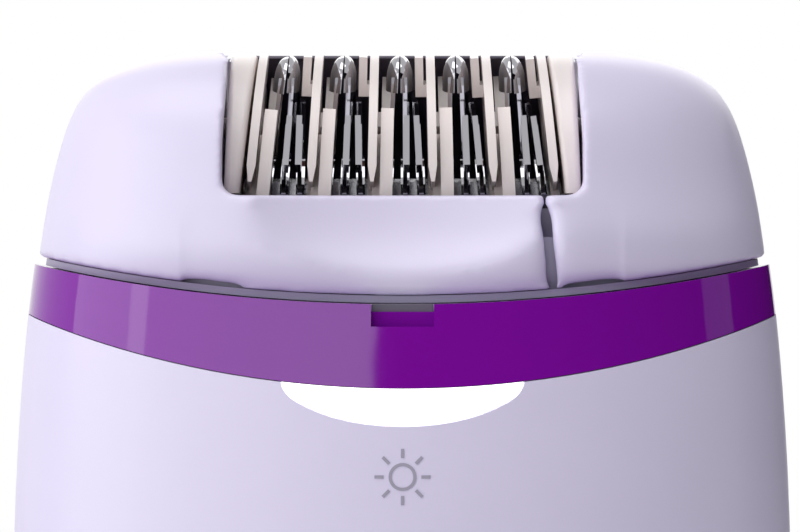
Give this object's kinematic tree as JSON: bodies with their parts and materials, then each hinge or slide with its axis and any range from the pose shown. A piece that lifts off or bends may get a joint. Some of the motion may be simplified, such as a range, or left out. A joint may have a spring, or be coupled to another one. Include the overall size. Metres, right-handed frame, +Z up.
{
  "type": "epilator",
  "caption": "Corded hair-removal epilator: rows of leaning, rotating tweezer discs in a lift-off head on a hand-held motor body with a light, slide switch and base inlet.",
  "frame": {"origin": "centre of the flat base, at the bottom", "axes": "+Z up toward the discs, +X along the disc axle to the right, front with the light and switch faces -Y"},
  "size_m": [0.0647, 0.0422, 0.135],
  "materials": {
    "lilac_plastic": "satin moulded ABS",
    "gloss_purple": "high-gloss tinted acrylic over ABS",
    "cream_plastic": "moulded acetal",
    "polished_steel": "polished stainless steel",
    "turned_steel": "turned and ground steel",
    "frame_plastic": "moulded grey-violet ABS",
    "chassis_plastic": "moulded black ABS",
    "gear_plastic": "natural acetal",
    "brass": "turned brass",
    "bronze": "sintered bronze",
    "lens_plastic": "clear-white diffusing acrylic",
    "board_green": "glass-fibre board with solder mask",
    "lamp_white": "chip lamps",
    "motor_can": "zinc-plated steel can",
    "screw_steel": "zinc-plated steel",
    "wire_cover": "PVC-covered copper",
    "knob_plastic": "gloss moulded ABS"
  },
  "bodies": {
    "handle": {"front_shell": "lilac_plastic", "rear_shell": "lilac_plastic", "collar_band": "gloss_purple", "light_lens": "lens_plastic", "light_board": "board_green", "light_leds": "lamp_white", "chassis": "chassis_plastic", "motor": "motor_can", "shaft_bushes": "bronze", "transfer_pin": "turned_steel", "control_board": "board_green", "slide_switch": "chassis_plastic", "inlet_socket": "chassis_plastic", "inlet_pins": "brass", "body_screws": "screw_steel", "motor_leads": "wire_cover", "inlet_leads": "wire_cover", "release_spring": "turned_steel"},
    "head": {"head_housing": "lilac_plastic", "head_side_cover": "lilac_plastic", "head_frame": "frame_plastic", "end_plate_left": "cream_plastic", "end_plate_right": "cream_plastic", "axle_bushes": "bronze", "head_screws": "screw_steel"},
    "rotor": {"rotor_shaft": "turned_steel", "rotor_gear": "gear_plastic"},
    "transfer": {"transfer_gear": "gear_plastic"},
    "output": {"output_gear": "gear_plastic", "drive_wheel": "gear_plastic", "cross_shaft": "turned_steel"},
    "motor_rotor": {"motor_shaft": "turned_steel", "motor_pinion": "brass"},
    "button": {"release_button": "knob_plastic"},
    "slider": {"slider_knob": "knob_plastic"},
    "spacer_disc_1": {"spacer_disc_1": "cream_plastic"},
    "left_tweezer_disc_1": {"left_tweezer_disc_1": "polished_steel"},
    "middle_tweezer_disc_1": {"middle_tweezer_disc_1": "polished_steel"},
    "right_tweezer_disc_1": {"right_tweezer_disc_1": "polished_steel"},
    "spacer_disc_2": {"spacer_disc_2": "cream_plastic"},
    "left_tweezer_disc_2": {"left_tweezer_disc_2": "polished_steel"},
    "middle_tweezer_disc_2": {"middle_tweezer_disc_2": "polished_steel"},
    "right_tweezer_disc_2": {"right_tweezer_disc_2": "polished_steel"},
    "spacer_disc_3": {"spacer_disc_3": "cream_plastic"},
    "left_tweezer_disc_3": {"left_tweezer_disc_3": "polished_steel"},
    "middle_tweezer_disc_3": {"middle_tweezer_disc_3": "polished_steel"},
    "right_tweezer_disc_3": {"right_tweezer_disc_3": "polished_steel"},
    "spacer_disc_4": {"spacer_disc_4": "cream_plastic"},
    "left_tweezer_disc_4": {"left_tweezer_disc_4": "polished_steel"},
    "middle_tweezer_disc_4": {"middle_tweezer_disc_4": "polished_steel"},
    "right_tweezer_disc_4": {"right_tweezer_disc_4": "polished_steel"},
    "spacer_disc_5": {"spacer_disc_5": "cream_plastic"},
    "left_tweezer_disc_5": {"left_tweezer_disc_5": "polished_steel"},
    "middle_tweezer_disc_5": {"middle_tweezer_disc_5": "polished_steel"},
    "right_tweezer_disc_5": {"right_tweezer_disc_5": "polished_steel"},
    "spacer_disc_6": {"spacer_disc_6": "cream_plastic"}
  },
  "joints": [
    {"name": "head_lift", "type": "slide", "parent": "handle", "child": "head", "axis": [0, 0, 1], "range_m": [0, 0.03]},
    {"name": "rotor_spin", "type": "hinge", "parent": "head", "child": "rotor", "pos_m": [0, 0, 0.1232], "axis": [1, 0, 0], "continuous": true},
    {"name": "transfer_spin", "type": "hinge", "parent": "handle", "child": "transfer", "pos_m": [0.0186, 0, 0.1088], "axis": [1, 0, 0], "continuous": true},
    {"name": "output_spin", "type": "hinge", "parent": "handle", "child": "output", "pos_m": [0.0186, 0, 0.0974], "axis": [1, 0, 0], "continuous": true},
    {"name": "motor_spin", "type": "hinge", "parent": "handle", "child": "motor_rotor", "pos_m": [0.0144, 0, 0.0859], "axis": [1, 0, 0], "continuous": true},
    {"name": "release_press", "type": "slide", "parent": "handle", "child": "button", "axis": [0, -1, 0], "range_m": [0, 0.0015], "stiffness_N_per_m": 300, "springref_m": -0.002, "deforming": ["release_spring"]},
    {"name": "switch_slide", "type": "slide", "parent": "handle", "child": "slider", "axis": [0, -0.0454, 0.999], "range_m": [0, 0.008]},
    {"name": "spacer_disc_1_spin", "type": "hinge", "parent": "head", "child": "spacer_disc_1", "pos_m": [-0.0126, 0, 0.1232], "axis": [0.9954, 0, -0.0958], "continuous": true},
    {"name": "left_tweezer_disc_1_spin", "type": "hinge", "parent": "head", "child": "left_tweezer_disc_1", "pos_m": [-0.01125, 0, 0.1232], "axis": [0.9923, 0, -0.1238], "continuous": true},
    {"name": "middle_tweezer_disc_1_spin", "type": "hinge", "parent": "head", "child": "middle_tweezer_disc_1", "pos_m": [-0.00985, 0, 0.1232], "axis": [0.9972, 0, -0.075], "continuous": true},
    {"name": "right_tweezer_disc_1_spin", "type": "hinge", "parent": "head", "child": "right_tweezer_disc_1", "pos_m": [-0.0085, 0, 0.1232], "axis": [0.9997, 0, -0.0264], "continuous": true},
    {"name": "spacer_disc_2_spin", "type": "hinge", "parent": "head", "child": "spacer_disc_2", "pos_m": [-0.00756, 0, 0.1232], "axis": [0.9983, 0, -0.0576], "continuous": true},
    {"name": "left_tweezer_disc_2_spin", "type": "hinge", "parent": "head", "child": "left_tweezer_disc_2", "pos_m": [-0.00621, 0, 0.1232], "axis": [0.9963, 0, -0.0856], "continuous": true},
    {"name": "middle_tweezer_disc_2_spin", "type": "hinge", "parent": "head", "child": "middle_tweezer_disc_2", "pos_m": [-0.00481, 0, 0.1232], "axis": [0.9993, 0, -0.0366], "continuous": true},
    {"name": "right_tweezer_disc_2_spin", "type": "hinge", "parent": "head", "child": "right_tweezer_disc_2", "pos_m": [-0.00346, 0, 0.1232], "axis": [0.9999, 0, 0.012], "continuous": true},
    {"name": "spacer_disc_3_spin", "type": "hinge", "parent": "head", "child": "spacer_disc_3", "pos_m": [-0.00252, 0, 0.1232], "axis": [0.9998, 0, -0.0192], "continuous": true},
    {"name": "left_tweezer_disc_3_spin", "type": "hinge", "parent": "head", "child": "left_tweezer_disc_3", "pos_m": [-0.00117, 0, 0.1232], "axis": [0.9989, 0, -0.0473], "continuous": true},
    {"name": "middle_tweezer_disc_3_spin", "type": "hinge", "parent": "head", "child": "middle_tweezer_disc_3", "pos_m": [0.00023, 0, 0.1232], "axis": [1, 0, 0.0018], "continuous": true},
    {"name": "right_tweezer_disc_3_spin", "type": "hinge", "parent": "head", "child": "right_tweezer_disc_3", "pos_m": [0.00158, 0, 0.1232], "axis": [0.9987, 0, 0.0504], "continuous": true},
    {"name": "spacer_disc_4_spin", "type": "hinge", "parent": "head", "child": "spacer_disc_4", "pos_m": [0.00252, 0, 0.1232], "axis": [0.9998, 0, 0.0192], "continuous": true},
    {"name": "left_tweezer_disc_4_spin", "type": "hinge", "parent": "head", "child": "left_tweezer_disc_4", "pos_m": [0.00387, 0, 0.1232], "axis": [1, 0, -0.0089], "continuous": true},
    {"name": "middle_tweezer_disc_4_spin", "type": "hinge", "parent": "head", "child": "middle_tweezer_disc_4", "pos_m": [0.00527, 0, 0.1232], "axis": [0.9992, 0, 0.0401], "continuous": true},
    {"name": "right_tweezer_disc_4_spin", "type": "hinge", "parent": "head", "child": "right_tweezer_disc_4", "pos_m": [0.00662, 0, 0.1232], "axis": [0.9961, 0, 0.0887], "continuous": true},
    {"name": "spacer_disc_5_spin", "type": "hinge", "parent": "head", "child": "spacer_disc_5", "pos_m": [0.00756, 0, 0.1232], "axis": [0.9983, 0, 0.0576], "continuous": true},
    {"name": "left_tweezer_disc_5_spin", "type": "hinge", "parent": "head", "child": "left_tweezer_disc_5", "pos_m": [0.00891, 0, 0.1232], "axis": [0.9996, 0, 0.0295], "continuous": true},
    {"name": "middle_tweezer_disc_5_spin", "type": "hinge", "parent": "head", "child": "middle_tweezer_disc_5", "pos_m": [0.01031, 0, 0.1232], "axis": [0.9969, 0, 0.0785], "continuous": true},
    {"name": "right_tweezer_disc_5_spin", "type": "hinge", "parent": "head", "child": "right_tweezer_disc_5", "pos_m": [0.01166, 0, 0.1232], "axis": [0.9919, 0, 0.1269], "continuous": true},
    {"name": "spacer_disc_6_spin", "type": "hinge", "parent": "head", "child": "spacer_disc_6", "pos_m": [0.0126, 0, 0.1232], "axis": [0.9954, 0, 0.0958], "continuous": true}
  ],
  "couplings": [
    {"joint": "transfer_spin", "follows": "rotor_spin", "ratio": -1.4},
    {"joint": "output_spin", "follows": "rotor_spin", "ratio": 1.5556},
    {"joint": "motor_spin", "follows": "rotor_spin", "ratio": -5.6},
    {"joint": "spacer_disc_1_spin", "follows": "rotor_spin", "ratio": 1},
    {"joint": "left_tweezer_disc_1_spin", "follows": "rotor_spin", "ratio": 1},
    {"joint": "middle_tweezer_disc_1_spin", "follows": "rotor_spin", "ratio": 1},
    {"joint": "right_tweezer_disc_1_spin", "follows": "rotor_spin", "ratio": 1},
    {"joint": "spacer_disc_2_spin", "follows": "rotor_spin", "ratio": 1},
    {"joint": "left_tweezer_disc_2_spin", "follows": "rotor_spin", "ratio": 1},
    {"joint": "middle_tweezer_disc_2_spin", "follows": "rotor_spin", "ratio": 1},
    {"joint": "right_tweezer_disc_2_spin", "follows": "rotor_spin", "ratio": 1},
    {"joint": "spacer_disc_3_spin", "follows": "rotor_spin", "ratio": 1},
    {"joint": "left_tweezer_disc_3_spin", "follows": "rotor_spin", "ratio": 1},
    {"joint": "middle_tweezer_disc_3_spin", "follows": "rotor_spin", "ratio": 1},
    {"joint": "right_tweezer_disc_3_spin", "follows": "rotor_spin", "ratio": 1},
    {"joint": "spacer_disc_4_spin", "follows": "rotor_spin", "ratio": 1},
    {"joint": "left_tweezer_disc_4_spin", "follows": "rotor_spin", "ratio": 1},
    {"joint": "middle_tweezer_disc_4_spin", "follows": "rotor_spin", "ratio": 1},
    {"joint": "right_tweezer_disc_4_spin", "follows": "rotor_spin", "ratio": 1},
    {"joint": "spacer_disc_5_spin", "follows": "rotor_spin", "ratio": 1},
    {"joint": "left_tweezer_disc_5_spin", "follows": "rotor_spin", "ratio": 1},
    {"joint": "middle_tweezer_disc_5_spin", "follows": "rotor_spin", "ratio": 1},
    {"joint": "right_tweezer_disc_5_spin", "follows": "rotor_spin", "ratio": 1},
    {"joint": "spacer_disc_6_spin", "follows": "rotor_spin", "ratio": 1}
  ]
}
